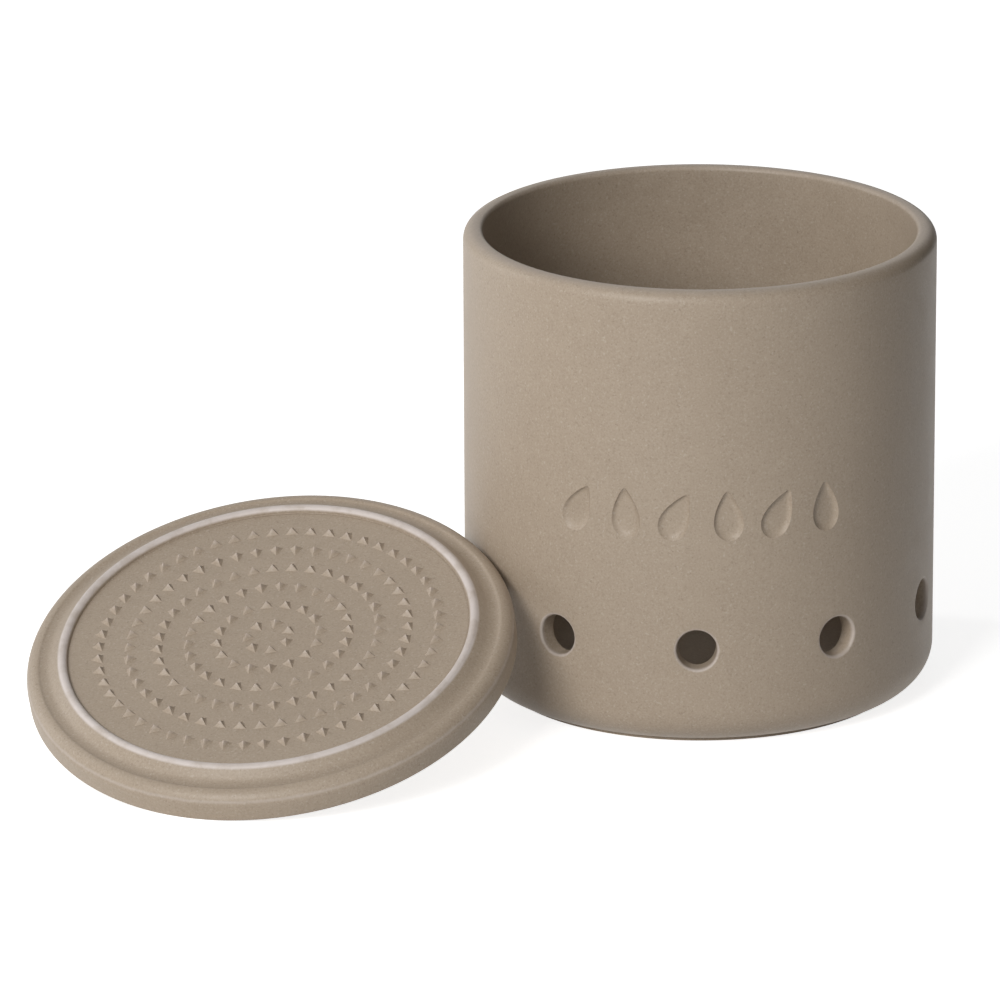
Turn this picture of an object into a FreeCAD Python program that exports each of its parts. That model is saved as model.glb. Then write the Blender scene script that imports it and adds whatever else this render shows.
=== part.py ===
import FreeCAD, Part
import math
import os
import Sketcher

# A stoneware garlic keeper: a vented canister and a thick lid whose inner face is a grater.
# Millimetres, +Z up. The origin is the middle of the canister's flat foot.
# The lid is off the canister and leans on its wall, grater face up.

document = FreeCAD.newDocument("garlic_keeper")

# Driving dimensions, each one written once
DIMENSIONS = (
    ("pot_radius", 60.0, "outside radius of the canister's straight wall"),
    ("pot_height", 120.0, "height of the rim above the table"),
    ("pot_wall", 5.0, "thickness of the wall"),
    ("rim_rounding", 3.0, "radius that the rim's outside edge is eased to"),
    ("mouth_bevel", 1.2, "bevel of the rim's inside edge"),
    ("base_rounding", 10.0, "rounding between the wall and the underside"),
    ("foot_radius", 49.2, "radius of the flat foot"),
    ("foot_step", 1.3, "how far the foot stands below the underside"),
    ("floor_height", 6.5, "height of the canister's inside floor"),
    ("floor_bevel", 4.5, "slope between the inside floor and the wall, across and up"),
    ("vent_count", 10, "air vents round the wall"),
    ("vent_radius", 4.9, "radius of one vent"),
    ("vent_height", 27.0, "height of the vents' axes"),
    ("vent_turn", -1.8, "turn of the first vent from straight ahead, degrees"),
    ("vent_lip", 1.0, "width of the flare round a vent's outside edge"),
    ("lid_overhang", 1.8, "how far the lid's edge passes the canister's wall"),
    ("lid_thickness", 8.0, "thickness from the flange to the plain face"),
    ("lid_rounding", 4.3, "radius that the lid's edge is eased to on the grater side"),
    ("back_bevel", 1.0, "bevel of the lid's edge on the plain side"),
    ("collar_play", 1.0, "play between the locating collar and the canister's bore"),
    ("collar_height", 2.35, "height of the collar above the flange"),
    ("collar_bevel", 0.6, "bevel that leads the collar into the bore"),
    ("collar_land", 1.2, "width of the collar's flat top"),
    ("collar_slope", 1.5, "width of the slope from that top down to the grater floor"),
    ("gutter_width", 2.2, "width of the gutter that slopes down to the collar's foot"),
    ("gutter_depth", 0.7, "depth of that gutter below the flange"),
    ("grater_height", 0.9, "height of the grater floor above the flange"),
    ("tooth_height", 1.3, "height of a grater tooth"),
    ("tooth_reach", 1.75, "distance from a tooth's middle to its corners"),
    ("tooth_tip", 0.16, "the same distance at the tooth's blunt tip"),
    ("tooth_spacing", 5.0, "distance between neighbours on one ring of teeth"),
    ("first_ring", 5.4, "radius of the innermost ring of teeth"),
    ("ring_spacing", 7.5, "distance between two rings of teeth"),
    ("lean_angle", 20.13, "tilt of the leaning lid from level, degrees"),
    ("lean_heading", 249.8, "direction that the leaning lid's grater face turns to, degrees"),
    ("lean_bearing", 206.65, "direction from the canister's axis to the lid's middle, degrees"),
    ("lean_gap", 0.3, "gap between the leaning lid and the canister's wall"),
)

# Turn of the first tooth on each ring, in degrees, from the innermost ring out
RING_STARTS = (38.0, 22.0, 4.5, 5.0, 0.5, 2.0)

# Names for the numbers that a sketch gives to the places on its lines and to its axes
FIRST_END, SECOND_END = 1, 2
ORIGIN = (-1, 1)
ACROSS, UPRIGHT = -1, -2

# Flat bevels that ease a small outside edge along a quarter circle
EASE_STEPS = 3

# A face whose direction rises less than this is one of a tooth's sides
LEVEL_SHARE = 0.1

# Points looked at round the leaning lid's edge, and halvings of its distance
EDGE_STEPS = 720
HALVINGS = 40


class Size:
    """A length that knows its number and the spreadsheet formula behind it."""

    def __init__(self, number, formula):
        self.number = number
        self.formula = formula

    def __add__(self, other):
        other = as_size(other)
        return Size(self.number + other.number, "(%s + %s)" % (self.formula, other.formula))

    def __sub__(self, other):
        other = as_size(other)
        return Size(self.number - other.number, "(%s - %s)" % (self.formula, other.formula))

    def __mul__(self, other):
        other = as_size(other)
        return Size(self.number * other.number, "(%s * %s)" % (self.formula, other.formula))

    def __truediv__(self, other):
        other = as_size(other)
        return Size(self.number / other.number, "(%s / %s)" % (self.formula, other.formula))


def as_size(value):
    return value if isinstance(value, Size) else Size(float(value), "(%r)" % float(value))


sheet = document.addObject("Spreadsheet::Sheet", "dim")
sizes = {}
for row, (alias, value, meaning) in enumerate(DIMENSIONS, start=1):
    sheet.set("A%d" % row, alias)
    sheet.set("B%d" % row, str(value))
    sheet.setAlias("B%d" % row, alias)
    sheet.set("C%d" % row, meaning)
    sizes[alias] = Size(float(value), "dim.%s" % alias)
document.recompute()


def origin_feature(body, role):
    return next(feature for feature in body.Origin.OriginFeatures if feature.Role == role)


def new_body(name):
    body = document.addObject("PartDesign::Body", name)
    body.Label = name
    return body


def new_sketch(body, name, plane_role):
    sketch = body.newObject("Sketcher::SketchObject", name)
    sketch.AttachmentSupport = [(origin_feature(body, plane_role), "")]
    sketch.MapMode = "FlatFace"
    return sketch


def bind(sketch, constraint, value):
    index = sketch.addConstraint(constraint)
    sketch.setExpression("Constraints[%d]" % index, value.formula)


def place_point(sketch, vertex, across, up):
    """Fix a vertex of a sketch at a place given by two sizes."""
    for kind, axis, value in (("DistanceX", UPRIGHT, across), ("DistanceY", ACROSS, up)):
        if value.number == 0:
            sketch.addConstraint(Sketcher.Constraint("PointOnObject", *vertex, axis))
        elif value.number > 0:
            bind(sketch, Sketcher.Constraint(kind, *ORIGIN, *vertex, value.number), value)
        else:
            below = Size(0.0, "0") - value
            bind(sketch, Sketcher.Constraint(kind, *vertex, *ORIGIN, below.number), below)


def draw_profile(sketch, corners):
    """Draw a closed outline. A corner is its two sizes and, where an arc leaves it for the
    next corner, the arc's radius and its turn: 1 is counterclockwise, -1 is clockwise."""
    vectors = [FreeCAD.Vector(corner[0].number, corner[1].number, 0) for corner in corners]
    for index, corner in enumerate(corners):
        start = vectors[index]
        end = vectors[(index + 1) % len(corners)]
        if len(corner) == 2:
            sketch.addGeometry(Part.LineSegment(start, end))
            vertex = (index, FIRST_END)
        else:
            radius, turn = corner[2], corner[3]
            chord = end - start
            reach = math.sqrt(radius.number ** 2 - (chord.Length / 2) ** 2) / chord.Length
            middle = (start + end) / 2
            centre = middle + FreeCAD.Vector(-chord.y, chord.x, 0) * reach * turn
            first, last = (start, end) if turn > 0 else (end, start)
            angles = [math.atan2(point.y - centre.y, point.x - centre.x) for point in (first, last)]
            circle = Part.Circle(centre, FreeCAD.Vector(0, 0, 1), radius.number)
            sketch.addGeometry(Part.ArcOfCircle(circle, angles[0], angles[1]))
            vertex = (index, FIRST_END if turn > 0 else SECOND_END)
            bind(sketch, Sketcher.Constraint("Radius", index, radius.number), radius)
        place_point(sketch, vertex, corner[0], corner[1])
    for index, corner in enumerate(corners):
        following = (index + 1) % len(corners)
        this_end = FIRST_END if len(corner) > 2 and corner[3] < 0 else SECOND_END
        turned = len(corners[following]) > 2 and corners[following][3] < 0
        next_start = SECOND_END if turned else FIRST_END
        sketch.addConstraint(
            Sketcher.Constraint("Coincident", index, this_end, following, next_start))


def eased_edge(centre_across, centre_up, radius):
    """Corners of the bevels that turn an upright face into a level one."""
    corners = []
    for bevel in range(EASE_STEPS + 1):
        angle = math.radians(90 * bevel / EASE_STEPS)
        corners.append((centre_across + radius * math.cos(angle), centre_up + radius * math.sin(angle)))
    return corners


def revolve(body, name, corners):
    sketch = new_sketch(body, name + "_outline", "XZ_Plane")
    draw_profile(sketch, corners)
    document.recompute()
    turned = body.newObject("PartDesign::Revolution", name + "_turned")
    turned.Profile = sketch
    turned.ReferenceAxis = (sketch, ["V_Axis"])
    turned.Angle = 360
    document.recompute()
    return turned


def repeat_round(body, feature, name, count, formula, mode):
    """Copy a feature, or the whole of a body up to it, round the body's upright axis."""
    pattern = body.newObject("PartDesign::PolarPattern", name)
    pattern.TransformMode = mode
    if mode == "Features":
        pattern.Originals = [feature]
    else:
        pattern.BaseFeature = feature
    pattern.Axis = (origin_feature(body, "Z_Axis"), [""])
    pattern.Angle = 360
    pattern.Occurrences = count
    pattern.setExpression("Occurrences", formula)
    body.Tip = pattern
    document.recompute()
    return pattern


# Canister: a turned wall with an eased rim, a rounded base and a flat foot

ZERO = Size(0.0, "0")
radius = sizes["pot_radius"]
height = sizes["pot_height"]
bore = radius - sizes["pot_wall"]
rim = sizes["rim_rounding"]
mouth = sizes["mouth_bevel"]
step = sizes["foot_step"]
base = sizes["base_rounding"]
floor = sizes["floor_height"]
hollow = sizes["floor_bevel"]
foot = sizes["foot_radius"]

pot = new_body("pot")
revolve(pot, "wall", [
    (ZERO, ZERO),
    (foot, ZERO),
    (foot, step),
    (radius - base, step, base, 1),
    (radius, step + base),
    *eased_edge(radius - rim, height - rim, rim),
    (bore + mouth, height),
    (bore, height - mouth),
    (bore, floor + hollow),
    (bore - hollow, floor),
    (ZERO, floor),
])

# Vents: round holes through the lower wall, each turned about its own axis and flared outside

vent = sizes["vent_radius"]
lip = sizes["vent_lip"]
wall = sizes["pot_wall"]
vent_sketch = new_sketch(pot, "vent_outline", "XY_Plane")
vent_sketch.AttachmentOffset = FreeCAD.Placement(
    FreeCAD.Vector(0, 0, sizes["vent_height"].number),
    FreeCAD.Rotation(FreeCAD.Vector(0, 0, 1), sizes["vent_turn"].number))
vent_sketch.setExpression("AttachmentOffset.Base.z", "dim.vent_height")
vent_sketch.setExpression("AttachmentOffset.Rotation.Angle", "dim.vent_turn")
draw_profile(vent_sketch, [
    (ZERO, ZERO - bore + wall),
    (vent, ZERO - bore + wall),
    (vent, lip - radius),
    (vent + lip + wall, ZERO - radius - wall),
    (ZERO, ZERO - radius - wall),
])
document.recompute()
vent_cut = pot.newObject("PartDesign::Groove", "vent_cut")
vent_cut.Profile = vent_sketch
vent_cut.ReferenceAxis = (vent_sketch, ["V_Axis"])
vent_cut.Angle = 360
document.recompute()
repeat_round(pot, vent_cut, "vents", int(sizes["vent_count"].number), "dim.vent_count", "Features")

# Lid: z is 0 on the flange that sits on the rim, and the grater side is up

edge_radius = radius + sizes["lid_overhang"]
thickness = sizes["lid_thickness"]
front = sizes["lid_rounding"]
back = sizes["back_bevel"]
collar_outside = bore - sizes["collar_play"]
collar_top = sizes["collar_height"]
lead = sizes["collar_bevel"]
land_inside = collar_outside - lead - sizes["collar_land"]
grater = sizes["grater_height"]
gutter_edge = collar_outside + sizes["gutter_width"]

lid = new_body("lid")
revolve(lid, "disc", [
    (ZERO, ZERO - thickness),
    (edge_radius - back, ZERO - thickness),
    (edge_radius, back - thickness),
    *eased_edge(edge_radius - front, ZERO - front, front),
    (gutter_edge, ZERO),
    (collar_outside, ZERO - sizes["gutter_depth"]),
    (collar_outside, collar_top - lead),
    (collar_outside - lead, collar_top),
    (land_inside, collar_top),
    (land_inside - sizes["collar_slope"], grater),
    (ZERO, grater),
])

# Grater teeth: three-sided pyramids in rings. A corner points outward on every second ring
# and inward on the others, so that neighbouring rings cut opposite ways.

tooth_height = sizes["tooth_height"]
tooth_reach = sizes["tooth_reach"]
spacing = sizes["tooth_spacing"]
THIRD = math.radians(120)

# A corner lies twice as far from a triangle's middle as a side does
side_run = (tooth_reach - sizes["tooth_tip"]) / 2
side_lean = math.degrees(math.atan(side_run.number / tooth_height.number))
side_formula = "atan(%s / %s)" % (side_run.formula, tooth_height.formula)


def tooth_sides(shape):
    """Names of a tooth's upright faces, and of the face that it stands on."""
    sides = []
    for index, face in enumerate(shape.Faces, start=1):
        rise = face.normalAt(0, 0).z
        if abs(rise) < LEVEL_SHARE:
            sides.append("Face%d" % index)
        elif rise < 0:
            stand = "Face%d" % index
    return sides, stand


def ring_of_teeth(ring, start):
    """One ring: a padded triangle whose sides are drafted in to the tip, repeated round."""
    ring_radius = sizes["first_ring"] + sizes["ring_spacing"] * ring
    outward = 1 if ring % 2 else -1
    body = new_body("teeth_%d" % ring)
    body.AllowCompound = True
    outline = new_sketch(body, "tooth_outline_%d" % ring, "XY_Plane")
    turn = FreeCAD.Rotation(FreeCAD.Vector(0, 0, 1), start)
    outline.AttachmentOffset = FreeCAD.Placement(FreeCAD.Vector(0, 0, grater.number), turn)
    outline.setExpression("AttachmentOffset.Base.z", grater.formula)
    corners = []
    for corner in range(3):
        angle = corner * THIRD
        across = ring_radius + tooth_reach * (outward * math.cos(angle))
        corners.append((across, tooth_reach * math.sin(angle)))
    draw_profile(outline, corners)
    pad = body.newObject("PartDesign::Pad", "tooth_%d" % ring)
    pad.Profile = outline
    pad.Length = tooth_height.number
    pad.setExpression("Length", tooth_height.formula)
    document.recompute()
    sides, stand = tooth_sides(pad.Shape)
    draft = body.newObject("PartDesign::Draft", "tooth_draft_%d" % ring)
    draft.Base = (pad, sides)
    draft.NeutralPlane = (pad, [stand])
    draft.Angle = side_lean
    draft.setExpression("Angle", side_formula)
    document.recompute()
    count = round(2 * math.pi * ring_radius.number / spacing.number)
    formula = "round(2 * pi * %s / %s)" % (ring_radius.formula, spacing.formula)
    repeat_round(body, draft, "ring_%d" % ring, count, formula, "Whole shape")
    return body


rings = [ring_of_teeth(ring, start) for ring, start in enumerate(RING_STARTS)]
grater_face = lid.newObject("PartDesign::Boolean", "grater_face")
grater_face.Type = "Fuse"
grater_face.addObjects(rings)
document.recompute()

# The lid leans: its back edge stands on the table and its side rests on the canister's wall


def lean_placement():
    tilt = math.radians(sizes["lean_angle"].number)
    bearing = math.radians(sizes["lean_bearing"].number)
    upright = FreeCAD.Rotation(FreeCAD.Vector(1, 0, 0), sizes["lean_angle"].number)
    facing = FreeCAD.Rotation(FreeCAD.Vector(0, 0, 1), sizes["lean_heading"].number + 90)
    turn = facing.multiply(upright)
    back_edge = ((edge_radius - back, thickness), (edge_radius, thickness - back))
    rise = max(across.number * math.sin(tilt) + down.number * math.cos(tilt) for across, down in back_edge)
    rim_points = []
    for edge_step in range(EDGE_STEPS):
        angle = 2 * math.pi * edge_step / EDGE_STEPS
        for level in (-front.number, (back - thickness).number):
            around = FreeCAD.Vector(math.cos(angle), math.sin(angle), 0) * edge_radius.number
            rim_points.append(turn.multVec(around + FreeCAD.Vector(0, 0, level)))
    wanted = radius.number + sizes["lean_gap"].number
    near, far = radius.number, 4 * radius.number
    for halving in range(HALVINGS):
        distance = (near + far) / 2
        middle_x = distance * math.cos(bearing)
        middle_y = distance * math.sin(bearing)
        closest = min(math.hypot(point.x + middle_x, point.y + middle_y) for point in rim_points)
        near, far = (distance, far) if closest < wanted else (near, distance)
    return FreeCAD.Placement(FreeCAD.Vector(middle_x, middle_y, rise), turn)


lid.Placement = lean_placement()
document.recompute()

# Check every object, then write one file for each piece

for item in document.Objects:
    for state in ("Invalid", "Error"):
        if state in item.State:
            raise RuntimeError("%s is %s" % (item.Name, state))

pieces = (pot, lid)
for piece in pieces:
    shape = piece.Shape
    if shape.isNull() or not shape.isValid() or len(shape.Solids) != 1:
        raise RuntimeError("%s is not one valid solid" % piece.Label)

os.makedirs("parts", exist_ok=True)
for piece in pieces:
    piece.Shape.exportStep("parts/%s.step" % piece.Label)
    box = piece.Shape.BoundBox
    print("%s: volume %.1f, from (%.2f, %.2f, %.2f) to (%.2f, %.2f, %.2f)" % (
        piece.Label, piece.Shape.Volume, box.XMin, box.YMin, box.ZMin, box.XMax, box.YMax, box.ZMax))
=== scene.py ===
import math
import random

import bmesh
import bpy
from bpy.props import FloatProperty, FloatVectorProperty, IntProperty, PointerProperty
from mathutils import Matrix, Vector


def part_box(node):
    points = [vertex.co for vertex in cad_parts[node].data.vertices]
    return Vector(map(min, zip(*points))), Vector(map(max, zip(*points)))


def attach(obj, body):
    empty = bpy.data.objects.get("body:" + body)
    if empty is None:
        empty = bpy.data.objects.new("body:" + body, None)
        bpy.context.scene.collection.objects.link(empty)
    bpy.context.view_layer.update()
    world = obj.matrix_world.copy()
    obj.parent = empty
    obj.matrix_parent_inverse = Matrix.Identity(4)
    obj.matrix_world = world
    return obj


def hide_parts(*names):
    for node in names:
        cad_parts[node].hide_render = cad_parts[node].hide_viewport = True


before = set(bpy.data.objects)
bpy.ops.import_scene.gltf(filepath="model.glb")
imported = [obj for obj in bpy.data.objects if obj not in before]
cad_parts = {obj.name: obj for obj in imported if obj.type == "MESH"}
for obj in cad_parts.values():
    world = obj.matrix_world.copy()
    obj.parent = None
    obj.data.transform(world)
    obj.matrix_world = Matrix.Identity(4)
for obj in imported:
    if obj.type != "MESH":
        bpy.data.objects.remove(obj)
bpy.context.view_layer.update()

# A stoneware garlic keeper: a vented canister and its grater lid, which leans on it.
# Metres, +Z up. The origin is the middle of the canister's foot, and the viewer is at -Y.

bl_info = {
    "name": "Garlic keeper",
    "version": (1, 0, 0),
    "blender": (4, 5, 0),
    "location": "View3D > Sidebar > Garlic keeper",
    "description": "Glazed canister with vents, its leaning grater lid and a plain studio stage",
    "category": "Object",
}

MM = 0.001
QUARTER = math.radians(90)
TURN = math.radians(360)
POT_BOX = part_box("pot")

# Steps round a turned piece, a vent and a clove, and along a quarter of a rounding
POT_STEPS = 300
LID_STEPS = 288
VENT_STEPS = 56
CLOVE_STEPS = 64
ARC_STEPS = 8

# How far the lid's valley rises again on its outer side, and how far the collar's inner side leans in
VALLEY_END = math.radians(13)
COLLAR_TAPER = 0.12 * MM

# Longest face up a wall, the distance under which two points are one, and the shortest edge that is kept
LONGEST_FACE = 2.2 * MM
SAME_POINT = 0.001 * MM
LEAST_EDGE = 0.0005 * MM

# Angle from which an edge is drawn sharp
SHARP_ANGLE = math.radians(38)

# Angle from which an edge of a tooth is one of its ridges
RIDGE_ANGLE = math.radians(40)

# Turn of the first tooth on each ring of the grater, from the innermost ring out
RING_STARTS = (38.0, 22.0, 4.5, 5.0, 0.5, 2.0)


class KeeperPotSizes(bpy.types.PropertyGroup):
    """Sizes of the canister."""

    radius: FloatProperty(
        name="Radius", description="Outside radius of the wall", default=POT_BOX[1][0], unit="LENGTH")
    height: FloatProperty(
        name="Height", description="Height of the rim", default=POT_BOX[1][2], unit="LENGTH")
    wall: FloatProperty(
        name="Wall", description="Thickness of the wall", default=5 * MM, unit="LENGTH")
    rim_outside: FloatProperty(
        name="Rim outside", description="Rounding outside the rim", default=3 * MM, unit="LENGTH")
    rim_inside: FloatProperty(
        name="Rim inside", description="Rounding inside the rim", default=1.2 * MM, unit="LENGTH")
    base_rounding: FloatProperty(
        name="Base", description="Rounding under the wall", default=10 * MM, unit="LENGTH")
    foot_radius: FloatProperty(
        name="Foot", description="Radius of the flat foot", default=51.5 * MM, unit="LENGTH")
    foot_step: FloatProperty(
        name="Foot step", description="Height of the foot", default=0.9 * MM, unit="LENGTH")
    foot_edge: FloatProperty(
        name="Foot edge", description="Rounding of the foot's edge", default=0.4 * MM, unit="LENGTH")
    floor_height: FloatProperty(
        name="Floor", description="Height of the inside floor", default=6.5 * MM, unit="LENGTH")
    floor_rounding: FloatProperty(
        name="Floor rounding", description="Rounding of the inside corner", default=5.5 * MM, unit="LENGTH")
    vent_count: IntProperty(name="Vents", description="Air vents round the wall", default=10)
    vent_radius: FloatProperty(
        name="Vent radius", description="Radius of a vent", default=5.15 * MM, unit="LENGTH")
    vent_height: FloatProperty(
        name="Vent height", description="Height of the vents' middles", default=27 * MM, unit="LENGTH")
    vent_turn: FloatProperty(
        name="Vent turn", description="Turn of the first vent from the front",
        default=math.radians(-1.8), unit="ROTATION")
    vent_lip: FloatProperty(
        name="Vent lip", description="Rounding of a vent's edge outside", default=0.75 * MM, unit="LENGTH")
    vent_burr: FloatProperty(
        name="Vent burr", description="Rounding of a vent's edge inside", default=0.7 * MM, unit="LENGTH")


class KeeperMotifSizes(bpy.types.PropertyGroup):
    """Sizes of the row of cloves pressed into the wall."""

    count: IntProperty(name="Cloves", description="Cloves in the row", default=6)
    level: FloatProperty(
        name="Level", description="Height of the row's middle", default=62 * MM, unit="LENGTH")
    span: FloatProperty(
        name="Span", description="Turn from the first clove to the last",
        default=math.radians(62), unit="ROTATION")
    facing: FloatProperty(
        name="Facing", description="Turn of the row's middle from the front",
        default=math.radians(-1), unit="ROTATION")
    height: FloatProperty(
        name="Height", description="Height of one clove", default=13 * MM, unit="LENGTH")
    width: FloatProperty(
        name="Width", description="Width of one clove", default=9 * MM, unit="LENGTH")
    depth: FloatProperty(
        name="Depth", description="Depth of the impression", default=1 * MM, unit="LENGTH")


class KeeperLidSizes(bpy.types.PropertyGroup):
    """Sizes of the lid and its grater."""

    radius: FloatProperty(
        name="Radius", description="Radius of the lid", default=61.8 * MM, unit="LENGTH")
    thickness: FloatProperty(
        name="Thickness", description="From the flange to the plain face", default=8 * MM, unit="LENGTH")
    edge_rounding: FloatProperty(
        name="Edge", description="Rounding of the edge on the grater side",
        default=3.4 * MM, unit="LENGTH")
    edge_drop: FloatProperty(
        name="Edge drop", description="Depth of the edge's top below the flange",
        default=0.1 * MM, unit="LENGTH")
    back_rounding: FloatProperty(
        name="Back edge", description="Rounding of the edge on the plain side",
        default=1 * MM, unit="LENGTH")
    collar_height: FloatProperty(
        name="Collar height", description="Height of the collar above the flange",
        default=2.35 * MM, unit="LENGTH")
    crest_radius: FloatProperty(
        name="Crest radius", description="Radius of the circle that the collar's crest follows",
        default=52.1 * MM, unit="LENGTH")
    crest_rounding: FloatProperty(
        name="Crest", description="Rounding of the collar's crest", default=1.3 * MM, unit="LENGTH")
    valley_radius: FloatProperty(
        name="Valley radius", description="Radius of the circle that the shallow valley follows",
        default=57.3 * MM, unit="LENGTH")
    valley_rounding: FloatProperty(
        name="Valley", description="Hollow rounding of that valley", default=3.8 * MM, unit="LENGTH")
    valley_depth: FloatProperty(
        name="Valley depth", description="Depth of the valley below the flange",
        default=0.35 * MM, unit="LENGTH")
    collar_lean: FloatProperty(
        name="Collar lean", description="Slope of the collar's outer side",
        default=math.radians(38), unit="ROTATION")
    grater_height: FloatProperty(
        name="Grater floor", description="Height of the grater floor above the flange",
        default=0.9 * MM, unit="LENGTH")
    tooth_height: FloatProperty(
        name="Tooth height", description="Height of one tooth", default=1.6 * MM, unit="LENGTH")
    tooth_reach: FloatProperty(
        name="Tooth reach", description="From a tooth's middle to its corners",
        default=2.35 * MM, unit="LENGTH")
    tooth_tip: FloatProperty(
        name="Tooth tip", description="The same at the blunt tip", default=0.18 * MM, unit="LENGTH")
    tooth_softness: FloatProperty(
        name="Tooth softness", description="How far the glaze rounds a tooth's edges",
        default=0.1 * MM, unit="LENGTH")
    tooth_spacing: FloatProperty(
        name="Tooth spacing", description="Between neighbours on one ring",
        default=5 * MM, unit="LENGTH")
    first_ring: FloatProperty(
        name="First ring", description="Radius of the innermost ring", default=5.4 * MM, unit="LENGTH")
    ring_spacing: FloatProperty(
        name="Ring spacing", description="Between two rings", default=7.5 * MM, unit="LENGTH")


class KeeperGlaze(bpy.types.PropertyGroup):
    """Colours of the taupe glaze."""

    body: FloatVectorProperty(
        name="Glaze", description="Glaze where it lies thick", subtype="COLOR",
        default=(0.35, 0.28, 0.212))
    cloud: FloatVectorProperty(
        name="Cloud", description="Glaze where it lies a little thinner", subtype="COLOR",
        default=(0.41, 0.335, 0.26))
    fleck: FloatVectorProperty(
        name="Dark fleck", description="Iron flecks in the clay", subtype="COLOR",
        default=(0.16, 0.118, 0.082))
    mote: FloatVectorProperty(
        name="Pale mote", description="Pale motes in the glaze", subtype="COLOR",
        default=(0.55, 0.49, 0.42))
    # Pale colour of glaze breaking thin over edges, also used as painted highlight on the lid's crest and
    # side and round the vents
    thin_and_highlight: FloatVectorProperty(
        name="Break", description="Glaze where it breaks over an edge", subtype="COLOR",
        default=(0.66, 0.6, 0.575))
    # Dark colour for painted shade in the lid's valley and at the collar's inner foot, and for the canister
    # darkening towards its bottom
    shade_and_darkening: FloatVectorProperty(
        name="Pool", description="Glaze where it pools", subtype="COLOR",
        default=(0.26, 0.205, 0.152))
    clay: FloatVectorProperty(
        name="Clay", description="Bare clay under the foot", subtype="COLOR",
        default=(0.5, 0.41, 0.32))
    roughness: FloatProperty(
        name="Roughness", description="Satin finish of the glaze", default=0.5, min=0, max=1)


class KeeperStage(bpy.types.PropertyGroup):
    """The floor, the lamps and the camera."""

    floor_width: FloatProperty(
        name="Floor", description="Width of the pale floor", default=12, unit="LENGTH")
    floor_white: FloatProperty(
        name="Floor white", description="Light that the camera adds to the floor", default=0.8)
    sky: FloatProperty(
        name="Sky", description="Strength of the even light from all round", default=0.23)
    key_power: FloatProperty(
        name="Key lamp", description="Power of the large lamp at the front left", default=24)
    strip_power: FloatProperty(
        name="Strip lamp", description="Power of the narrow lamp at the left", default=3.2)
    flag_width: FloatProperty(
        name="Flag", description="Width of the black card at the right", default=2, unit="LENGTH")
    camera_place: FloatVectorProperty(
        name="Camera", description="Place of the camera", subtype="TRANSLATION",
        default=(-0.0509, -2.1276, 0.7402))
    camera_pitch: FloatProperty(
        name="Pitch", description="Angle that the camera looks down by",
        default=math.radians(18.04), unit="ROTATION")
    camera_roll: FloatProperty(
        name="Roll", description="Turn of the camera about its view",
        default=math.radians(-0.235), unit="ROTATION")
    lens: FloatProperty(name="Lens", description="Focal length in millimetres", default=315)


class KeeperSettings(bpy.types.PropertyGroup):
    """Everything that a user may change."""

    pot: PointerProperty(type=KeeperPotSizes)
    motif: PointerProperty(type=KeeperMotifSizes)
    lid: PointerProperty(type=KeeperLidSizes)
    glaze: PointerProperty(type=KeeperGlaze)
    stage: PointerProperty(type=KeeperStage)


# Turned forms and cutters

def arc(across, up, radius, start, stop, steps=ARC_STEPS):
    """Points on part of a circle, from one angle to another."""
    points = []
    for step in range(steps + 1):
        angle = start + (stop - start) * step / steps
        points.append((across + radius * math.cos(angle), up + radius * math.sin(angle)))
    return points


def divided(points, longest):
    """The same outline with its long lines cut into short ones."""
    result = [points[0]]
    for start, end in zip(points, points[1:]):
        parts = max(1, math.ceil(math.dist(start, end) / longest))
        for part in range(1, parts + 1):
            share = part / parts
            result.append(tuple(a + (b - a) * share for a, b in zip(start, end)))
    return result


def turned(points, steps):
    """A closed bmesh of an outline (distance from the axis, height) turned about the Z axis."""
    form = bmesh.new()
    verts = [form.verts.new((across, 0, up)) for across, up in points]
    edges = [form.edges.new(pair) for pair in zip(verts, verts[1:])]
    bmesh.ops.spin(
        form, geom=verts + edges, cent=(0, 0, 0), axis=(0, 0, 1), angle=TURN, steps=steps,
        use_merge=True, use_duplicate=False)
    bmesh.ops.remove_doubles(form, verts=form.verts, dist=SAME_POINT)
    bmesh.ops.dissolve_degenerate(form, edges=form.edges, dist=LEAST_EDGE)
    bmesh.ops.recalc_face_normals(form, faces=form.faces)
    return form


def wrap(form, wall_radius, turn, level):
    """Bend a form that lies flat, with its depth along Z, round the canister's wall."""
    for vert in form.verts:
        angle = vert.co.x / wall_radius + turn
        away = wall_radius + vert.co.z
        vert.co = Vector((away * math.sin(angle), -away * math.cos(angle), vert.co.y + level))


def merge_into(target, form):
    """Add one bmesh to another."""
    spare = bpy.data.meshes.new("spare")
    form.to_mesh(spare)
    form.free()
    target.from_mesh(spare)
    bpy.data.meshes.remove(spare)


def add_piece(name, form):
    """Make an object of a bmesh, at the origin."""
    mesh = bpy.data.meshes.new(name)
    form.to_mesh(mesh)
    form.free()
    piece = bpy.data.objects.new(name, mesh)
    bpy.context.scene.collection.objects.link(piece)
    return piece


def finish_shading(piece):
    """Shade a piece smooth, and sharp only at its hard edges."""
    piece.data.shade_smooth()
    piece.data.set_sharp_from_angle(angle=SHARP_ANGLE)


def cut_away(piece, form):
    """Cut a form out of a piece and keep the result as the piece's own mesh."""
    cutter = add_piece("cutter", form)
    cut = piece.modifiers.new("cut", "BOOLEAN")
    cut.operation = "DIFFERENCE"
    cut.solver = "EXACT"
    cut.object = cutter
    bpy.context.view_layer.update()
    shaped = piece.evaluated_get(bpy.context.evaluated_depsgraph_get())
    mesh = bpy.data.meshes.new_from_object(shaped)
    plain = piece.data
    piece.modifiers.remove(cut)
    piece.data = mesh
    mesh.name = piece.name
    bpy.data.meshes.remove(plain)
    spare = cutter.data
    bpy.data.objects.remove(cutter)
    bpy.data.meshes.remove(spare)


# Shader sums and the glaze

# Sockets of a Mix node for colours, whose names are used twice
MIX_SHARE = 0
MIX_FIRST = 6
MIX_SECOND = 7
MIX_RESULT = 2

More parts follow.
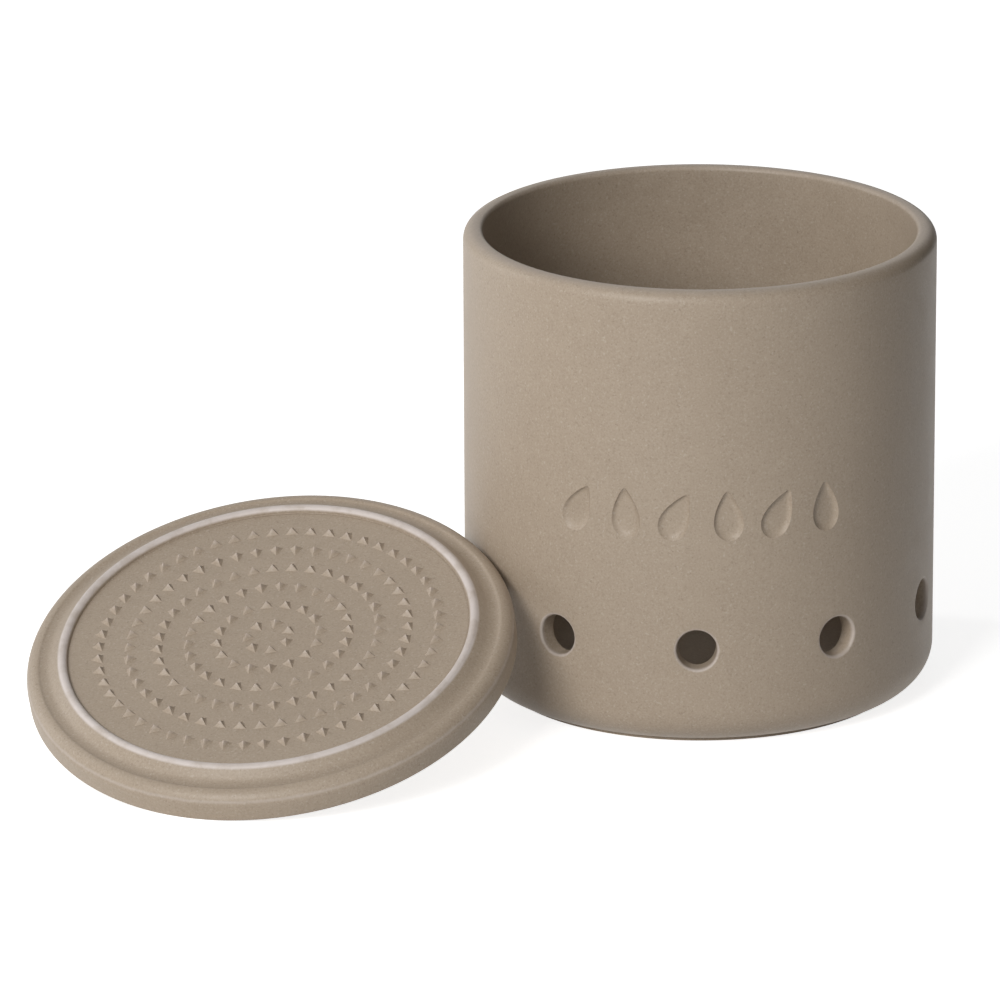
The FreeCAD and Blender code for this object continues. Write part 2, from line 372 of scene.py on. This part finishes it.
# Noises: how often they turn in a metre, their detail and their roughness
DRIFT = (26.0, 3.0, 0.5)
MOTTLE = (190.0, 3.0, 0.6)
GRAIN = (1900.0, 2.0, 0.6)
FLECKS = (1500.0, 1.0, 0.5)
MOTES = (1350.0, 1.0, 0.5)
POT_RAGGED = (420.0, 2.0, 0.5)
LID_RAGGED = (520.0, 2.0, 0.5)

# The middle of a noise, and the values between which what it draws fades in or out
MIDDLE = 0.5
CLOUD_FADE = (0.3, 0.7)
PALE_GRAIN_FADE = (0.5, 0.8)
DARK_GRAIN_FADE = (0.22, 0.5)
MOTE_FADE = (0.64, 0.74)
FLECK_FADE = (0.66, 0.76)
RAISED_FLECK_FADE = (0.6, 0.75)
THIN_AND_HIGHLIGHT_FADE = (0.25, 0.6)

# Least and greatest shares of what the noises draw
LEAST_CLOUD = 0.25
CLOUD_SHARE = 0.25
LEAST_THIN_AND_HIGHLIGHT = 0.55
# Share of the dark colour: painted shade on the lid, darker towards the canister's bottom
SHADE_AND_DARKENING_SHARE = 0.7
GRAIN_SHARE = 0.3
MOTE_SHARE = 0.3
FLECK_SHARE = 0.32

# What adds to the roughness, what makes the relief, and the index of refraction
CLAY_DRYNESS = 0.4
MOTTLE_DRYNESS = 0.16
GRAIN_DRYNESS = 0.1
MOTTLE_RELIEF = 0.6
GRAIN_RELIEF = 0.3
FLECK_RELIEF = 0.15
RELIEF_STRENGTH = 0.35
RELIEF_DEPTH = 0.12 * MM
GLAZE_IOR = 1.5


class Value:
    """An output socket that can be used in sums."""

    def __init__(self, tree, socket):
        self.tree = tree
        self.socket = socket

    def math(self, operation, first, second):
        """A Math node in this socket's tree, on two values."""
        return add_node(self.tree, "ShaderNodeMath", {"operation": operation}, {0: first, 1: second})

    def __add__(self, other):
        return self.math("ADD", self, other)

    def __sub__(self, other):
        return self.math("SUBTRACT", self, other)

    def __mul__(self, other):
        return self.math("MULTIPLY", self, other)

    def __pow__(self, other):
        return self.math("POWER", self, other)

    def __rsub__(self, other):
        return self.math("SUBTRACT", other, self)

    __radd__ = __add__
    __rmul__ = __mul__

    def between(self, low, high):
        """0 below low, 1 above high and a soft step between them."""
        settings = {"interpolation_type": "SMOOTHSTEP"}
        return add_node(self.tree, "ShaderNodeMapRange", settings, {0: self, 1: low, 2: high})

    def band(self, low, high, soft):
        """1 from low to high, with a soft step at both ends."""
        return self.between(low - soft, low + soft) * (1 - self.between(high - soft, high + soft))


def add_node(tree, kind, settings, values, output=0):
    """Add a node, set it, then give its sockets their values or links."""
    node = tree.nodes.new(kind)
    for name, setting in settings.items():
        setattr(node, name, setting)
    for key, value in values.items():
        if isinstance(value, Value):
            tree.links.new(value.socket, node.inputs[key])
        else:
            node.inputs[key].default_value = value
    return Value(tree, node.outputs[output])


def with_alpha(colour):
    """A colour as a socket takes it."""
    return (*colour, 1.0)


def blend(tree, share, first, second):
    """One colour over another by a share."""
    colours = [value if isinstance(value, Value) else with_alpha(value) for value in (first, second)]
    values = {MIX_SHARE: share, MIX_FIRST: colours[0], MIX_SECOND: colours[1]}
    return add_node(tree, "ShaderNodeMix", {"data_type": "RGBA"}, values, MIX_RESULT)


def noise(tree, place, scale, detail, roughness):
    """A noise at a place. Its values lie round MIDDLE."""
    values = {"Vector": place, "Scale": scale, "Detail": detail, "Roughness": roughness}
    return add_node(tree, "ShaderNodeTexNoise", {}, values)


def empty_tree(owner):
    """The emptied node tree of a material or a world."""
    owner.use_nodes = True
    owner.node_tree.nodes.clear()
    return owner.node_tree


def finish_tree(tree, kind, surface):
    """Lead a surface to a new output node of one kind."""
    output = tree.nodes.new(kind)
    tree.links.new(surface.socket, output.inputs["Surface"])


def glaze_material(name, colours, masks):
    """A satin speckled glaze. masks gives the shares at a place of the pale colour (glaze breaking thin,
    and painted highlight), of the dark colour (painted shade, and darker towards the bottom) and of bare
    clay.
    """
    material = bpy.data.materials.new(name)
    tree = empty_tree(material)
    place = add_node(tree, "ShaderNodeTexCoord", {}, {}, "Object")
    thin_and_highlight, shade_and_darkening, bare = masks(tree, place)
    drift = noise(tree, place, *DRIFT)
    mottle = noise(tree, place, *MOTTLE)
    grain = noise(tree, place, *GRAIN)
    flecks = noise(tree, place, *FLECKS)
    motes = noise(tree, place, *MOTES)

    clouds = drift.between(*CLOUD_FADE) * CLOUD_SHARE + mottle.between(*CLOUD_FADE) * CLOUD_SHARE
    # How much of the pale break and painted highlight shows, varied by the mottle
    uneven_thin_and_highlight = LEAST_THIN_AND_HIGHLIGHT + (1 - LEAST_THIN_AND_HIGHLIGHT) * mottle.between(*THIN_AND_HIGHLIGHT_FADE)
    colour = blend(tree, LEAST_CLOUD + clouds, colours.body, colours.cloud)
    # Painted shade in the lid's valley and at its collar's inner foot, and darker towards the canister's
    # bottom
    colour = blend(tree, shade_and_darkening * SHADE_AND_DARKENING_SHARE, colour, colours.shade_and_darkening)
    colour = blend(tree, grain.between(*PALE_GRAIN_FADE) * GRAIN_SHARE, colour, colours.mote)
    colour = blend(tree, (1 - grain.between(*DARK_GRAIN_FADE)) * GRAIN_SHARE, colour, colours.fleck)
    colour = blend(tree, motes.between(*MOTE_FADE) * MOTE_SHARE, colour, colours.mote)
    colour = blend(tree, flecks.between(*FLECK_FADE) * FLECK_SHARE, colour, colours.fleck)
    # Pale glaze breaking over edges, and painted highlight on the lid's crest and side and round the vents
    colour = blend(tree, thin_and_highlight * uneven_thin_and_highlight, colour, colours.thin_and_highlight)
    colour = blend(tree, bare, colour, colours.clay)

    uneven = (mottle - MIDDLE) * MOTTLE_DRYNESS + (grain - MIDDLE) * GRAIN_DRYNESS
    raised = flecks.between(*RAISED_FLECK_FADE) * FLECK_RELIEF
    relief = mottle * MOTTLE_RELIEF + grain * GRAIN_RELIEF + raised
    normal = add_node(tree, "ShaderNodeBump", {}, {
        "Strength": RELIEF_STRENGTH,
        "Distance": RELIEF_DEPTH,
        "Height": relief,
    })
    surface = add_node(tree, "ShaderNodeBsdfPrincipled", {}, {
        "Base Color": colour,
        "Roughness": bare * CLAY_DRYNESS + uneven + colours.roughness,
        "Normal": normal,
        "IOR": GLAZE_IOR,
    })
    finish_tree(tree, "ShaderNodeOutputMaterial", surface)
    return material


# The canister

# How far round its rounding a vent's lip is cut, and how far the flared plug goes on from there
LIP_SWEEP = math.radians(76)
PLUG_REACH = 1.6 * MM

# Side of a clove's hollow: shares of half its width and of its depth, from the deepest point out
CLOVE_SIDE = (
    (0, -1), (0.56, -1), (0.7, -0.94), (0.82, -0.74), (0.91, -0.44), (1.0, 0.02), (1.08, 1), (0, 1))

# How much a clove narrows and sweeps aside at its tip, how late it does so, and its lean
CLOVE_NARROWING = 0.62
CLOVE_SWEEP = 0.38
NARROWING_POWER = 1.6
SWEEP_POWER = 2.4
CLOVE_LEAN = math.radians(14)


def pot_outline(pot):
    """Outline of the canister from the middle of its foot to the middle of its inside floor."""
    bore = pot.radius - pot.wall
    rim_inside = pot.rim_inside
    under = pot.foot_step + pot.base_rounding
    base_middle = pot.radius - pot.base_rounding
    base_start = -math.acos(max(0, pot.foot_radius - base_middle) / pot.base_rounding)
    hollow = pot.floor_rounding
    points = [(0, 0), (pot.foot_radius - pot.foot_edge, 0)]
    points += arc(pot.foot_radius - pot.foot_edge, pot.foot_edge, pot.foot_edge, -QUARTER, 0)[1:]
    points += arc(base_middle, under, pot.base_rounding, base_start, 0, 2 * ARC_STEPS)
    points += arc(pot.radius - pot.rim_outside, pot.height - pot.rim_outside, pot.rim_outside, 0, QUARTER)
    points += arc(bore + rim_inside, pot.height - rim_inside, rim_inside, QUARTER, 2 * QUARTER)[1:]
    points += arc(bore - hollow, pot.floor_height + hollow, hollow, 0, -QUARTER)
    points.append((0, pot.floor_height))
    return divided(points, LONGEST_FACE)


def vent_lip(vent_radius, wall_face, rounding, side):
    """Outline of one flared end of a vent's plug. side is 1 outside the wall and -1 inside it."""
    centre = wall_face - side * rounding * math.sin(LIP_SWEEP)
    points = []
    for step in range(ARC_STEPS + 1):
        lean = LIP_SWEEP * step / ARC_STEPS
        across = vent_radius + rounding * (1 - math.cos(lean))
        points.append((across, centre + side * rounding * math.sin(lean)))
    across, depth = points[-1]
    end = (across + PLUG_REACH * math.sin(LIP_SWEEP), depth + side * PLUG_REACH * math.cos(LIP_SWEEP))
    return points + [end, (0, end[1])]


def vent_cutter(pot, turn):
    """A round plug whose ends flare, so that the hole it cuts has soft lips."""
    bore = pot.radius - pot.wall
    inner = vent_lip(pot.vent_radius, bore - pot.radius, pot.vent_burr, -1)
    outer = vent_lip(pot.vent_radius, 0, pot.vent_lip, 1)
    plug = turned(inner[::-1] + outer, VENT_STEPS)
    wrap(plug, pot.radius, turn, pot.vent_height)
    return plug


def clove_cutter(pot, motif, turn, lean):
    """A clove of garlic: a turned plug with soft sides, narrowed and swept to a tip at the top."""
    form = turned([(across, share * motif.depth) for across, share in CLOVE_SIDE], CLOVE_STEPS)
    for vert in form.verts:
        rise = max(0, (vert.co.y + 1) / 2)
        narrow = 1 - CLOVE_NARROWING * rise ** NARROWING_POWER
        sweep = CLOVE_SWEEP * rise ** SWEEP_POWER
        vert.co.x = (vert.co.x * narrow + sweep) * motif.width / 2
        vert.co.y *= motif.height / 2
    bmesh.ops.rotate(form, verts=form.verts, cent=(0, 0, 0), matrix=Matrix.Rotation(lean, 3, "Z"))
    wrap(form, pot.radius, turn, motif.level)
    return form


def pot_masks(pot):
    """Shares of the pale, the dark and the bare colour on the canister, from the wall, the vents and the
    height: glaze breaking over the rim, glaze breaking with a painted highlight round the vents, and darker
    towards the bottom.
    """
    skin = (pot.radius - 1.6 * MM, pot.radius - 0.3 * MM)
    lip_fade = (pot.vent_radius + 0.3 * MM, pot.vent_radius + pot.vent_lip)
    rim_fade = (pot.height - 1.1 * MM, pot.height - 0.1 * MM)
    # Heights over which the canister darkens towards its bottom
    bottom_fade = (3 * MM, 8 * MM)
    clay_fade = (0.1 * MM, 0.6 * MM)
    lip_break_and_highlight_share = 0.45
    rim_share = 0.12
    bottom_share = 0.5
    lip_raggedness = 0.5
    bottom_raggedness = 2
    clay_raggedness = 0.3

    def masks(tree, place):
        across, ahead, height = [
            add_node(tree, "ShaderNodeSeparateXYZ", {}, {0: place}, axis) for axis in "XYZ"]
        away = (across * across + ahead * ahead) ** 0.5
        ragged = (noise(tree, place, *POT_RAGGED) - MIDDLE) * MM
        turn = across.math("ARCTAN2", across, 0 - ahead) - pot.vent_turn
        beside = turn.math("PINGPONG", turn, TURN / pot.vent_count / 2) * pot.radius
        rise = height - pot.vent_height
        from_vent = (beside * beside + rise * rise) ** 0.5
        # Pale ring round each vent: glaze breaking over the lip, with a painted highlight
        lip_break_and_highlight = 1 - (from_vent + ragged * lip_raggedness).between(*lip_fade)
        rim = (height + ragged).between(*rim_fade)
        thin_and_highlight = lip_break_and_highlight * away.between(*skin) * lip_break_and_highlight_share + rim * rim_share
        # Darker towards the bottom, outside and on the inside floor
        shade_and_darkening = (1 - (height + ragged * bottom_raggedness).between(*bottom_fade)) * bottom_share
        bare = 1 - (height + ragged * clay_raggedness).between(*clay_fade)
        return thin_and_highlight, shade_and_darkening, bare
    return masks


class KEEPER_OT_pot(bpy.types.Operator):
    """Turn the canister, cut its vents and press the row of cloves into it"""

    bl_idname = "keeper.pot"
    bl_label = "Canister"

    def execute(self, context):
        settings = context.scene.keeper
        pot, motif = settings.pot, settings.motif
        piece = add_piece("canister_glazed", turned(pot_outline(pot), POT_STEPS))
        cutters = bmesh.new()
        for vent in range(pot.vent_count):
            merge_into(cutters, vent_cutter(pot, pot.vent_turn + TURN * vent / pot.vent_count))
        for clove in range(motif.count):
            share = clove / (motif.count - 1) - 0.5
            lean = CLOVE_LEAN if clove % 2 else -CLOVE_LEAN
            merge_into(cutters, clove_cutter(pot, motif, motif.facing + motif.span * share, lean))
        cut_away(piece, cutters)
        finish_shading(piece)
        piece.data.materials.clear()
        piece.data.materials.append(glaze_material("pot glaze", settings.glaze, pot_masks(pot)))
        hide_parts("pot")
        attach(piece, "canister")
        return {"FINISHED"}


# The lid

# Least cosine of the angle between a face and the plain back, for the first choice and for the last
NEAR_BACK = 0.99
ON_BACK = 0.9999

# Root and flanks of a tooth: shares of its reach and of its height, from the middle of its root up
TOOTH_FLANK = ((0, -0.1), (1, -0.05), (0.66, 0.16), (0.38, 0.5))

# Height of the blunt tip's edge as a share of the tooth, and the steps that round the tooth's ridges
TIP_EDGE = 0.95
RIDGE_STEPS = 2

# Start of the random draws, and how uneven the teeth are in size and in turn
UNEVEN_SEED = 11
SIZE_RANGE = (0.93, 1.0)
TWIST_DEGREES = 5


def lid_seat(thickness):
    """The leaning lid's place, read from its plain back: Z is out of the grater face, Y is uphill."""
    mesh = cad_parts["lid"].data
    facing = {}
    for polygon in mesh.polygons:
        key = tuple(round(part, 1) for part in polygon.normal)
        facing[key] = facing.get(key, 0) + polygon.area
    rough = Vector(max(facing, key=facing.get))
    rough.normalize()
    flats = [polygon for polygon in mesh.polygons if polygon.normal.dot(rough) > NEAR_BACK]
    back = sum((polygon.normal * polygon.area for polygon in flats), Vector()).normalized()
    flats = [polygon for polygon in flats if polygon.normal.dot(back) > ON_BACK]
    out = -back
    along = Vector((0, 0, 1)).cross(out).normalized()
    uphill = out.cross(along)
    corners = [mesh.vertices[index].co for polygon in flats for index in polygon.vertices]
    middle = Vector()
    for axis in (along, uphill):
        reaches = [corner.dot(axis) for corner in corners]
        middle += axis * (min(reaches) + max(reaches)) / 2
    middle += out * (corners[0].dot(out) + thickness)
    return Matrix.Translation(middle) @ Matrix((along, uphill, out)).transposed().to_4x4()


def lid_outline(lid):
    """Outline of the lid from the middle of its back to the middle of its grater floor."""
    crest = lid.crest_rounding
    valley = lid.valley_rounding
    side = lid.edge_rounding
    steep = lid.collar_lean
    points = [(0, -lid.thickness)]
    points += arc(lid.radius - lid.back_rounding, lid.back_rounding - lid.thickness,
                  lid.back_rounding, -QUARTER, 0)
    points += arc(lid.radius - side, -side - lid.edge_drop, side, 0, QUARTER, 2 * ARC_STEPS)
    points += arc(lid.valley_radius, valley - lid.valley_depth, valley,
                  VALLEY_END - QUARTER, -QUARTER - steep)
    points += arc(lid.crest_radius, lid.collar_height - crest, crest,
                  QUARTER - steep, 2 * QUARTER, 2 * ARC_STEPS)
    points += [(lid.crest_radius - crest - COLLAR_TAPER, lid.grater_height), (0, lid.grater_height)]
    return divided(points, LONGEST_FACE)


def tooth(lid):
    """One grater tooth: a three-sided spike with hollow flanks and a corner towards +X."""
    reach, height = lid.tooth_reach, lid.tooth_height
    outline = [(across * reach, share * height) for across, share in TOOTH_FLANK]
    outline += [(lid.tooth_tip, TIP_EDGE * height), (0, height)]
    form = turned(outline, 3)
    ridges = [edge for edge in form.edges
              if edge.calc_face_angle() > RIDGE_ANGLE and max(vert.co.z for vert in edge.verts) > 0]
    bmesh.ops.bevel(
        form, geom=ridges, offset=lid.tooth_softness, offset_type="OFFSET", affect="EDGES",
        segments=RIDGE_STEPS, profile=0.5, material=-1, clamp_overlap=True)
    mesh = bpy.data.meshes.new("tooth")
    form.to_mesh(mesh)
    form.free()
    return mesh


def teeth(lid):
    """The rings of teeth on the grater floor, each a little uneven as hand-finished ones are."""
    form = bmesh.new()
    shape = tooth(lid)
    uneven = random.Random(UNEVEN_SEED)
    for ring, start in enumerate(RING_STARTS):
        away = lid.first_ring + lid.ring_spacing * ring
        count = round(TURN * away / lid.tooth_spacing)
        facing = 0 if ring % 2 else math.pi
        for step in range(count):
            turn = math.radians(start) + TURN * step / count
            size = uneven.uniform(*SIZE_RANGE)
            twist = math.radians(uneven.uniform(-TWIST_DEGREES, TWIST_DEGREES))
            place = (
                Matrix.Rotation(turn, 4, "Z")
                @ Matrix.Translation((away, 0, lid.grater_height))
                @ Matrix.Rotation(facing + twist, 4, "Z")
                @ Matrix.Scale(size, 4))
            first = len(form.verts)
            form.from_mesh(shape)
            form.verts.ensure_lookup_table()
            bmesh.ops.transform(form, matrix=place, verts=form.verts[first:])
    bpy.data.meshes.remove(shape)
    return form


def lid_masks(lid, seat):
    """Shares of the pale, the dark and the bare colour on the lid, from the distance to its axis and
    flange: glaze breaking on the crest and the tooth tips, painted highlight on the crest and the side, and
    painted shade in the valley and at the collar's inner foot.
    """
    middle = seat.to_translation()
    out = seat.to_3x3().col[2]
    crest_inside = lid.crest_radius - lid.crest_rounding
    tooth_top = lid.grater_height + lid.tooth_height

    # Distances to the axis: bands with the softness of their ends, and fades
    crest_band = (crest_inside + 0.15 * MM, lid.crest_radius + 1.15 * MM, 0.3 * MM)
    valley_shade_band = (lid.valley_radius - 1.5 * MM, lid.valley_radius + 0.5 * MM, 0.8 * MM)
    foot_shade_band = (crest_inside - 0.5 * MM, crest_inside, 0.2 * MM)
    floor_fade = (crest_inside - 1.2 * MM, crest_inside - 0.8 * MM)
    side_highlight_fade = (lid.radius - 1.6 * MM, lid.radius - 0.5 * MM)

    # Heights above the flange
    side_highlight_band = (-2.3 * MM, -1.8 * MM, 0.4 * MM)
    crest_fade = (lid.collar_height - 1.1 * MM, lid.collar_height - 0.5 * MM)
    tip_fade = (lid.grater_height + 0.3 * MM, tooth_top - 0.2 * MM)
    valley_shade_fade = (0, 0.8 * MM)

    # Shares of the marks: glaze breaking with a painted highlight on the crest, glaze breaking on the tooth
    # tips, painted highlight on the side, painted shade in the valley and at the collar's inner foot; then
    # how ragged the pale marks are
    crest_break_and_highlight_share = 0.95
    tip_share = 0.3
    side_highlight_share = 0.35
    valley_shade_share = 0.4
    foot_shade_share = 0.7
    crest_raggedness = 0.4
    tip_raggedness = 0.3
    side_highlight_raggedness = 0.5

    def masks(tree, place):
        offset = add_node(
            tree, "ShaderNodeVectorMath", {"operation": "SUBTRACT"}, {0: place, 1: middle})
        level = add_node(
            tree, "ShaderNodeVectorMath", {"operation": "DOT_PRODUCT"}, {0: offset, 1: out}, "Value")
        far = add_node(tree, "ShaderNodeVectorMath", {"operation": "LENGTH"}, {0: offset}, "Value")
        away = level.math("MAXIMUM", far * far - level * level, 0.0) ** 0.5
        ragged = (noise(tree, place, *LID_RAGGED) - MIDDLE) * MM
        # Pale crest: glaze breaking over it, with a painted highlight
        crest = (level + ragged * crest_raggedness).between(*crest_fade) * away.band(*crest_band)
        tips = (level + ragged * tip_raggedness).between(*tip_fade) * (1 - away.between(*floor_fade))
        # Painted highlight along the lid's side, where the edge turns
        side = (level + ragged * side_highlight_raggedness).band(*side_highlight_band) * away.between(*side_highlight_fade)
        thin_and_highlight = crest * crest_break_and_highlight_share + tips * tip_share + side * side_highlight_share
        # Painted shade in the valley beside the collar and at the collar's inner foot
        valley = away.band(*valley_shade_band) * (1 - level.between(*valley_shade_fade))
        shade_and_darkening = valley * valley_shade_share + away.band(*foot_shade_band) * foot_shade_share
        return thin_and_highlight, shade_and_darkening, 0.0
    return masks


class KEEPER_OT_lid(bpy.types.Operator):
    """Turn the lid, set its grater teeth and lean it as the frame has it"""

    bl_idname = "keeper.lid"
    bl_label = "Grater lid"

    def execute(self, context):
        settings = context.scene.keeper
        lid = settings.lid
        seat = lid_seat(lid.thickness)
        form = turned(lid_outline(lid), LID_STEPS)
        merge_into(form, teeth(lid))
        bmesh.ops.transform(form, matrix=seat, verts=form.verts)
        piece = add_piece("grater_lid_glazed", form)
        finish_shading(piece)
        piece.data.materials.append(glaze_material("lid glaze", settings.glaze, lid_masks(lid, seat)))
        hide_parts("lid")
        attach(piece, "cover")
        return {"FINISHED"}


# The stage

# Colours of the floor and the black card
PAPER_COLOUR = (0.86, 0.86, 0.86)
FELT_COLOUR = (0.01, 0.01, 0.01)
WHITE = (1.0, 1.0, 1.0)

# Places, sizes and colours of the lamps, and the point that they face
LAMP_TARGET = (-0.03, 0, 0.05)
KEY_PLACE = (-0.85, -1.45, 0.95)
KEY_SIZE = (0.8, 0.8)
KEY_COLOUR = (1.0, 0.985, 0.96)
STRIP_PLACE = (-1.1, 0.35, 0.45)
STRIP_SIZE = (0.14, 1.0)

# Place on the floor of the black card, and how far the camera sees
FLAG_PLACE = (0.65, 0.65)
CAMERA_REACH = 50


def seen_share(tree):
    """1 for what the camera, a reflection or clear glass sees, 0 for light on the object."""
    rays = [add_node(tree, "ShaderNodeLightPath", {}, {}, name)
            for name in ("Is Camera Ray", "Is Glossy Ray", "Is Transmission Ray")]
    seen = rays[0]
    for ray in rays[1:]:
        seen = seen.math("MAXIMUM", seen, ray)
    return seen


def add_lamp(name, place, size, power, colour):
    """A rectangular lamp that faces the object."""
    light = bpy.data.lights.new(name, "AREA")
    light.shape = "RECTANGLE"
    light.size, light.size_y = size
    light.energy = power
    light.color = colour
    lamp = bpy.data.objects.new(name, light)
    lamp.location = place
    lamp.rotation_euler = (Vector(LAMP_TARGET) - Vector(place)).to_track_quat("-Z", "Y").to_euler()
    bpy.context.scene.collection.objects.link(lamp)


def add_card(name, width, place, material, seen=True):
    """A square card of one material, moved to its place. The camera may be kept from seeing it."""
    form = bmesh.new()
    bmesh.ops.create_grid(form, x_segments=1, y_segments=1, size=width / 2)
    bmesh.ops.transform(form, matrix=place, verts=form.verts)
    card = add_piece(name, form)
    card.data.materials.append(material)
    card.visible_camera = seen


def paper_material(floor_white):
    """Pale paper, to which the camera adds light."""
    paper = bpy.data.materials.new("pale paper")
    tree = empty_tree(paper)
    matt = add_node(tree, "ShaderNodeBsdfDiffuse", {}, {"Color": with_alpha(PAPER_COLOUR)})
    glow = add_node(tree, "ShaderNodeEmission", {}, {"Strength": floor_white})
    lifted = add_node(tree, "ShaderNodeAddShader", {}, {0: matt, 1: glow})
    mixed = add_node(tree, "ShaderNodeMixShader", {}, {0: seen_share(tree), 1: matt, 2: lifted})
    finish_tree(tree, "ShaderNodeOutputMaterial", mixed)
    return paper


def felt_material():
    """Black felt for the card that keeps light off the right side."""
    felt = bpy.data.materials.new("black felt")
    felt.use_nodes = True
    felt.node_tree.nodes["Principled BSDF"].inputs["Base Color"].default_value = with_alpha(FELT_COLOUR)
    return felt


def studio_world(sky):
    """Even light on the object, and white where the camera looks."""
    world = bpy.data.worlds.new("studio")
    tree = empty_tree(world)
    even = add_node(tree, "ShaderNodeBackground", {}, {"Strength": sky})
    white = add_node(tree, "ShaderNodeBackground", {}, {"Color": with_alpha(WHITE), "Strength": 1.0})
    mixed = add_node(tree, "ShaderNodeMixShader", {}, {0: seen_share(tree), 1: even, 2: white})
    finish_tree(tree, "ShaderNodeOutputWorld", mixed)
    return world


def add_camera(stage):
    """The camera, at the place, the angles and the lens that the stage gives."""
    lens = bpy.data.cameras.new("camera")
    lens.lens = stage.lens
    lens.clip_end = CAMERA_REACH
    camera = bpy.data.objects.new("camera", lens)
    looking = Matrix.Rotation(QUARTER - stage.camera_pitch, 4, "X")
    rolled = Matrix.Rotation(stage.camera_roll, 4, "Z")
    camera.matrix_world = Matrix.Translation(stage.camera_place) @ looking @ rolled
    bpy.context.scene.collection.objects.link(camera)
    return camera


class KEEPER_OT_stage(bpy.types.Operator):
    """Set the pale floor, the soft lamps, the black card and the camera"""

    bl_idname = "keeper.stage"
    bl_label = "Stage"

    def execute(self, context):
        scene = context.scene
        stage = scene.keeper.stage
        add_card("pale_floor", stage.floor_width, Matrix.Identity(4), paper_material(stage.floor_white))
        scene.world = studio_world(stage.sky)
        add_lamp("key", KEY_PLACE, KEY_SIZE, stage.key_power, KEY_COLOUR)
        add_lamp("strip", STRIP_PLACE, STRIP_SIZE, stage.strip_power, WHITE)
        centre = (*FLAG_PLACE, stage.flag_width / 2)
        upright = Matrix.Translation(centre) @ Matrix.Rotation(QUARTER, 4, "Y")
        add_card("black_flag", stage.flag_width, upright, felt_material(), seen=False)
        scene.camera = add_camera(stage)
        scene.view_settings.view_transform = "Standard"
        return {"FINISHED"}


class KEEPER_PT_panel(bpy.types.Panel):
    """Builds the pieces and lists their sizes"""

    bl_label = "Garlic keeper"
    bl_idname = "KEEPER_PT_panel"
    bl_space_type = "VIEW_3D"
    bl_region_type = "UI"
    bl_category = "Garlic keeper"

    def draw(self, context):
        settings = context.scene.keeper
        for operator in OPERATORS:
            self.layout.operator(operator.bl_idname)
        for group in (settings.pot, settings.motif, settings.lid, settings.glaze, settings.stage):
            box = self.layout.box()
            for name in group.__annotations__:
                box.prop(group, name)


GROUPS = (KeeperPotSizes, KeeperMotifSizes, KeeperLidSizes, KeeperGlaze, KeeperStage, KeeperSettings)
OPERATORS = (KEEPER_OT_pot, KEEPER_OT_lid, KEEPER_OT_stage)
CLASSES = GROUPS + OPERATORS + (KEEPER_PT_panel,)


def register():
    for item in CLASSES:
        bpy.utils.register_class(item)
    bpy.types.Scene.keeper = PointerProperty(type=KeeperSettings)


def unregister():
    del bpy.types.Scene.keeper
    for item in reversed(CLASSES):
        bpy.utils.unregister_class(item)


def main():
    """Build every piece and the stage."""
    register()
    bpy.ops.keeper.pot()
    bpy.ops.keeper.lid()
    bpy.ops.keeper.stage()


if __name__ == "__main__":
    main()
